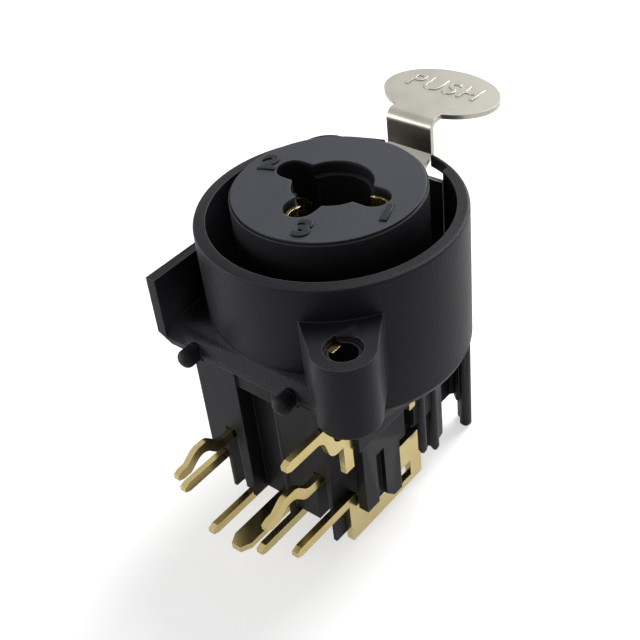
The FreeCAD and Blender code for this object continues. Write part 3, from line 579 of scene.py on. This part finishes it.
def round_normals(mesh, walls):
    """Turns the normals of round upright walls to their true direction."""
    normals = [Vector(corner.vector) for corner in mesh.corner_normals]
    for face in mesh.polygons:
        if abs(face.normal.z) > WALL_LEAN:
            continue
        for corner in face.loop_indices:
            spot = mesh.vertices[mesh.loops[corner].vertex_index].co
            for x, y, radius in walls:
                out = Vector((spot.x - x * MM, spot.y - y * MM, 0.0))
                if abs(out.length - radius * MM) < WALL_GAP:
                    out.normalize()
                    facing = out.dot(face.normal)
                    if abs(facing) > WALL_FACING:
                        normals[corner] = out if facing > 0 else -out
    mesh.normals_split_custom_set(normals)


def narrow_edge(mesh):
    """Draws the chamfer around the insert's face in to a narrow one."""
    for vertex in mesh.vertices:
        x, y, z = vertex.co
        reach = math.hypot(x, y)
        if z > FACE_Z - FACE_GAP and abs(reach - CORE_R + CORE_CHAMFER) < WALL_GAP:
            vertex.co.x *= (CORE_R - CORE_EDGE) / reach
            vertex.co.y *= (CORE_R - CORE_EDGE) / reach
        elif abs(z - FACE_Z + CORE_CHAMFER) < FACE_GAP and abs(reach - CORE_R) < WALL_GAP:
            vertex.co.z = FACE_Z - CORE_EDGE


def raised_text(name, words, size, rise, bold, place, turn, material, body):
    """Letters that stand out of a flat surface, as a plain mesh; place is in metres."""
    curve = bpy.data.curves.new(name, "FONT")
    curve.body = words
    curve.size = size
    curve.align_x = "CENTER"
    curve.align_y = "CENTER"
    curve.extrude = rise * MARK_FLANK
    curve.bevel_depth = rise * (1 - MARK_FLANK)
    curve.bevel_resolution = 2
    curve.offset = bold
    curve.resolution_u = 6
    curve.space_character = 1.1
    text = in_scene(name + "_text", curve)
    mesh = evaluated(text)
    bpy.data.objects.remove(text)
    mesh.name = name
    mesh.transform(Matrix.Translation(Vector(place)) @ Matrix.Rotation(turn, 4, "Z"))
    give_finish(mesh, material)
    piece = in_scene(name, mesh)
    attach(piece, body)


class SOCKET_OT_mouldings(bpy.types.Operator):
    """Finish the housing and the insert as black mouldings with a fine grain"""
    bl_idname = "socket.mouldings"
    bl_label = "Mouldings"

    def execute(self, context):
        look = context.scene.socket_moulding
        outer = moulded("Housing Moulding", look.housing_colour, look.roughness,
                        look.grain * HOUSING_GRAIN)
        # The insert is lighter than the housing as painted light on its face, and darker below the
        # face as painted shade.
        inner = moulded("Insert Moulding", look.insert_lit_colour, look.roughness + INSERT_ROUGHER,
                        look.grain, **{"Face Height": FACE_Z, "Side Tone": INSERT_SIDE_SHADE})
        core = node_copy("socket_insert", "insert_core")
        narrow_edge(core.data)
        smooth(core, CORE_WALLS)
        give_finish(core.data, inner)
        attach(core, "housing")
        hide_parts("socket_insert")
        shell = node_copy("housing", "housing_shell")
        self.shape(shell)
        smooth(shell, HOUSING_WALLS)
        give_finish(shell.data, outer)
        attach(shell, "housing")
        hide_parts("housing")
        return {"FINISHED"}

    def shape(self, shell):
        """Adds and cuts the housing's smaller forms, and then sets the board pegs."""
        added = [block(*form) for form in BLOCKS_ADDED]
        removed = [block(*form) for form in BLOCKS_REMOVED]
        removed.append(prism("side_relief", RELIEF_OUTLINE, *RELIEF_DEPTHS))
        removed.append(prism("far_relief", flipped(RELIEF_OUTLINE), *RELIEF_DEPTHS))
        for x in PEG_PLACES:
            width = (x - PEG_ROOM, x + PEG_ROOM)
            removed.append(block("peg_room", width, PEG_ROOM_REACH, PEG_ROOM_DEPTHS))
        carve(shell, added, removed)
        carve(shell, [knob("peg_%d" % i, x, PEG_HEIGHT, PEG_ROOT, PEG_TIP, PEG_RADIUS)
                      for i, x in enumerate(PEG_PLACES)], [])


def witness_tree():
    """Thin raised rings, one on each point of a mesh."""
    tree, given, result = new_tree("Ejector Rings", "GeometryNodeTree", (
        ("Geometry", "Geometry", None),
        ("Ring Radius", "Float", 0.7 * MM),
        ("Line Radius", "Float", 0.05 * MM),
        ("Finish", "Material", None),
    ), (("Geometry", "Geometry", None),))
    ring = add_node(tree, "GeometryNodeCurvePrimitiveCircle", {
        "Resolution": 32, "Radius": given["Ring Radius"]})
    line = add_node(tree, "GeometryNodeCurvePrimitiveCircle", {
        "Resolution": 6, "Radius": given["Line Radius"]})
    swept = add_node(tree, "GeometryNodeCurveToMesh", {
        "Curve": ring.outputs["Curve"], "Profile Curve": line.outputs["Curve"]})
    placed = add_node(tree, "GeometryNodeInstanceOnPoints", {
        "Points": given["Geometry"], "Instance": swept.outputs["Mesh"]})
    real = add_node(tree, "GeometryNodeRealizeInstances", {"Geometry": placed.outputs["Instances"]})
    finish = add_node(tree, "GeometryNodeSetMaterial", {
        "Geometry": real.outputs["Geometry"], "Material": given["Finish"]})
    tree.links.new(finish.outputs["Geometry"], result["Geometry"])
    return tree


def on_points(name, points, tree, values):
    """Runs a tree on loose points and leaves a plain mesh."""
    piece = in_scene(name, new_mesh(name, [[c * MM for c in point] for point in points], []))
    modifier = piece.modifiers.new("tree", "NODES")
    modifier.node_group = tree
    for socket in tree.interface.items_tree:
        if socket.in_out == "INPUT" and socket.name in values:
            modifier[socket.identifier] = values[socket.name]
    apply_modifiers(piece)
    return piece


class SOCKET_OT_witness(bpy.types.Operator):
    """Mark the rear faces of the housing with the rings that ejector pins leave"""
    bl_idname = "socket.witness"
    bl_label = "Ejector Rings"

    def execute(self, context):
        look = context.scene.socket_moulding
        outer = bpy.data.materials["Housing Moulding"]
        points = [(x, y, RING_HEIGHT) for x, y in RING_PLACES]
        rings = on_points("ejector_rings", points, witness_tree(), {
            "Ring Radius": look.ring_radius, "Line Radius": look.ring_line, "Finish": outer})
        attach(rings, "housing")
        return {"FINISHED"}


class SOCKET_OT_latch(bpy.types.Operator):
    """Finish the push latch and its spring as rolled stainless steel"""
    bl_idname = "socket.latch"
    bl_label = "Latch"

    def execute(self, context):
        look = context.scene.socket_metal
        marks = context.scene.socket_mark
        dull, dark, darkest = ([c * tone for c in look.steel_colour]
                               for tone in (STEEL_TARNISH, SPRING_TONE, SPRING_TARNISH))
        steel = metal("Latch Steel", look.steel_colour, dull, look.steel_roughness,
                      LATCH_LINES, ROLLED_DEPTH)
        spring = metal("Spring Steel", dark, darkest, look.steel_roughness,
                       SPRING_LINES, ROLLED_DEPTH)
        give_finish(NODES["latch"].data, steel)
        give_finish(NODES["latch_spring"].data, spring)
        x, y = WORD_PLACE
        raised_text("tab_word", marks.word, marks.word_size, marks.rise, 0.0,
                    (x * MM, y * MM, TAB_Z), 0.0, steel, "latch")
        return {"FINISHED"}


class SOCKET_OT_contacts(bpy.types.Operator):
    """Finish the contacts as gold-plated strip"""
    bl_idname = "socket.contacts"
    bl_label = "Contacts"

    def execute(self, context):
        look = context.scene.socket_metal
        tarnish = [c * tone for c, tone in zip(look.gold_colour, GOLD_TARNISH)]
        gold = metal("Contact Gold", look.gold_colour, tarnish, look.gold_roughness,
                     STRIP_LINES, PLATED_DEPTH)
        for node in NODES:
            if node.startswith("pole_"):
                strip = node_copy(node, node.replace("contact", "strip"))
                ease_bends(strip, BEND_RADIUS)
                smooth(strip)
                give_finish(strip.data, gold)
                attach(strip, "housing")
                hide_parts(node)
            elif node.endswith("_contact") or node.endswith("_switch"):
                give_finish(NODES[node].data, gold)
        return {"FINISHED"}


class SOCKET_OT_numbers(bpy.types.Operator):
    """Raise the numbers of the three poles on the insert's face"""
    bl_idname = "socket.numbers"
    bl_label = "Pole Numbers"

    def execute(self, context):
        marks = context.scene.socket_mark
        look = context.scene.socket_moulding
        # Painted shade: the numbers are darker than the insert's face, standing in for the shade in
        # their strokes.
        dark = [c * NUMBER_SHADE for c in look.insert_lit_colour]
        number_shade_finish = moulded("Number Moulding", dark, look.roughness, look.grain)
        for number, x, y in NUMBER_PLACES:
            raised_text("number_" + number, number, marks.number_size, marks.rise * NUMBER_RISE,
                        NUMBER_BOLD, (x * MM, y * MM, FACE_Z), marks.number_turn, number_shade_finish,
                        "housing")
        return {"FINISHED"}


def facing(place, target):
    """The turn that points a lamp or camera from its place at a target."""
    return (Vector(target) - Vector(place)).to_track_quat("-Z", "Y")


def area_lamp(name, place, target, size, power):
    data = bpy.data.lights.new(name, "AREA")
    data.shape = "DISK"
    data.size = size
    data.energy = power
    lamp = in_scene(name, data)
    lamp.location = place
    lamp.rotation_mode = "QUATERNION"
    lamp.rotation_quaternion = facing(place, target)


def seen_directly(tree):
    """1 for what the camera sees straight or in a gloss, and 0 for light that falls on things."""
    path = add_node(tree, "ShaderNodeLightPath")
    return maths(tree, "MAXIMUM", path.outputs["Is Camera Ray"], path.outputs["Is Glossy Ray"])


class SOCKET_OT_stage(bpy.types.Operator):
    """Set the pale floor, the soft lamps, the room and the camera"""
    bl_idname = "socket.stage"
    bl_label = "Stage"

    def execute(self, context):
        scene = context.scene
        stage = scene.socket_stage
        self.floor(stage.floor_lift)
        self.room(scene, stage.room)
        for name, power, place, size in LAMPS:
            area_lamp(name, place, LAMP_TARGET, size, getattr(stage, power))
        self.camera(scene, stage)
        scene.view_settings.view_transform = "Standard"
        return {"FINISHED"}

    def camera(self, scene, stage):
        data = bpy.data.cameras.new("Camera")
        data.lens = stage.lens
        data.sensor_width = CAMERA_SENSOR
        data.clip_start = CAMERA_NEAR
        data.clip_end = CAMERA_FAR
        camera = in_scene("Camera", data)
        camera.location = stage.location
        camera.rotation_mode = "QUATERNION"
        aim = facing(stage.location, stage.target)
        camera.rotation_quaternion = aim @ Quaternion((0.0, 0.0, 1.0), stage.roll)
        scene.camera = camera

    def floor(self, lift):
        """A large pale floor that shows as white to the camera and keeps the shadow."""
        corners = [(x * FLOOR_HALF, y * FLOOR_HALF, FLOOR_Z)
                   for x, y in ((-1, -1), (1, -1), (1, 1), (-1, 1))]
        floor = in_scene("floor", new_mesh("floor", corners, [(0, 1, 2, 3)]))
        material = bpy.data.materials.new("Pale Floor")
        material.use_nodes = True
        tree = material.node_tree
        shader = tree.nodes["Principled BSDF"]
        shader.inputs["Base Color"].default_value = FLOOR_GREY
        shader.inputs["Roughness"].default_value = FLOOR_ROUGHNESS
        shader.inputs["Specular IOR Level"].default_value = 0.0
        shader.inputs["Emission Color"].default_value = WHITE
        place = add_node(tree, "ShaderNodeTexCoord").outputs["Object"]
        reach = add_node(tree, "ShaderNodeVectorMath", {0: place}, operation="LENGTH")
        spread = ranged(tree, reach.outputs["Value"],
                        (FLOOR_NEAR, FLOOR_FAR), (lift, FLOOR_FAR_LIFT))
        glow = maths(tree, "MULTIPLY", seen_directly(tree), spread)
        tree.links.new(glow, shader.inputs["Emission Strength"])
        floor.data.materials.append(material)

    def room(self, scene, strength):
        """A pale room: white behind the object and in its reflections, softer as a light."""
        world = bpy.data.worlds.new("Pale Room")
        world.use_nodes = True
        scene.world = world
        tree = world.node_tree
        back = tree.nodes["Background"]
        back.inputs["Color"].default_value = WHITE
        level = ranged(tree, seen_directly(tree), (0.0, 1.0), (strength, 1.0))
        tree.links.new(level, back.inputs["Strength"])


class SOCKET_PT_panel(bpy.types.Panel):
    bl_label = "Socket"
    bl_idname = "SOCKET_PT_panel"
    bl_space_type = "VIEW_3D"
    bl_region_type = "UI"
    bl_category = "Socket"

    def draw(self, context):
        for name, group in SETTINGS:
            column = self.layout.column()
            for key in group.__annotations__:
                column.prop(getattr(context.scene, name), key)
        for operator in OPERATORS:
            self.layout.operator(operator.bl_idname)


SETTINGS = (
    ("socket_moulding", MouldingSettings),
    ("socket_metal", MetalSettings),
    ("socket_mark", MarkSettings),
    ("socket_stage", StageSettings),
)
OPERATORS = (
    SOCKET_OT_mouldings,
    SOCKET_OT_witness,
    SOCKET_OT_latch,
    SOCKET_OT_contacts,
    SOCKET_OT_numbers,
    SOCKET_OT_stage,
)


def register():
    for name, group in SETTINGS:
        bpy.utils.register_class(group)
        setattr(bpy.types.Scene, name, PointerProperty(type=group))
    for operator in OPERATORS:
        bpy.utils.register_class(operator)
    bpy.utils.register_class(SOCKET_PT_panel)


def unregister():
    bpy.utils.unregister_class(SOCKET_PT_panel)
    for operator in reversed(OPERATORS):
        bpy.utils.unregister_class(operator)
    for name, group in reversed(SETTINGS):
        delattr(bpy.types.Scene, name)
        bpy.utils.unregister_class(group)


def main():
    register()
    bpy.ops.socket.mouldings()
    bpy.ops.socket.witness()
    bpy.ops.socket.latch()
    bpy.ops.socket.contacts()
    bpy.ops.socket.numbers()
    bpy.ops.socket.stage()


if __name__ == "__main__":
    main()
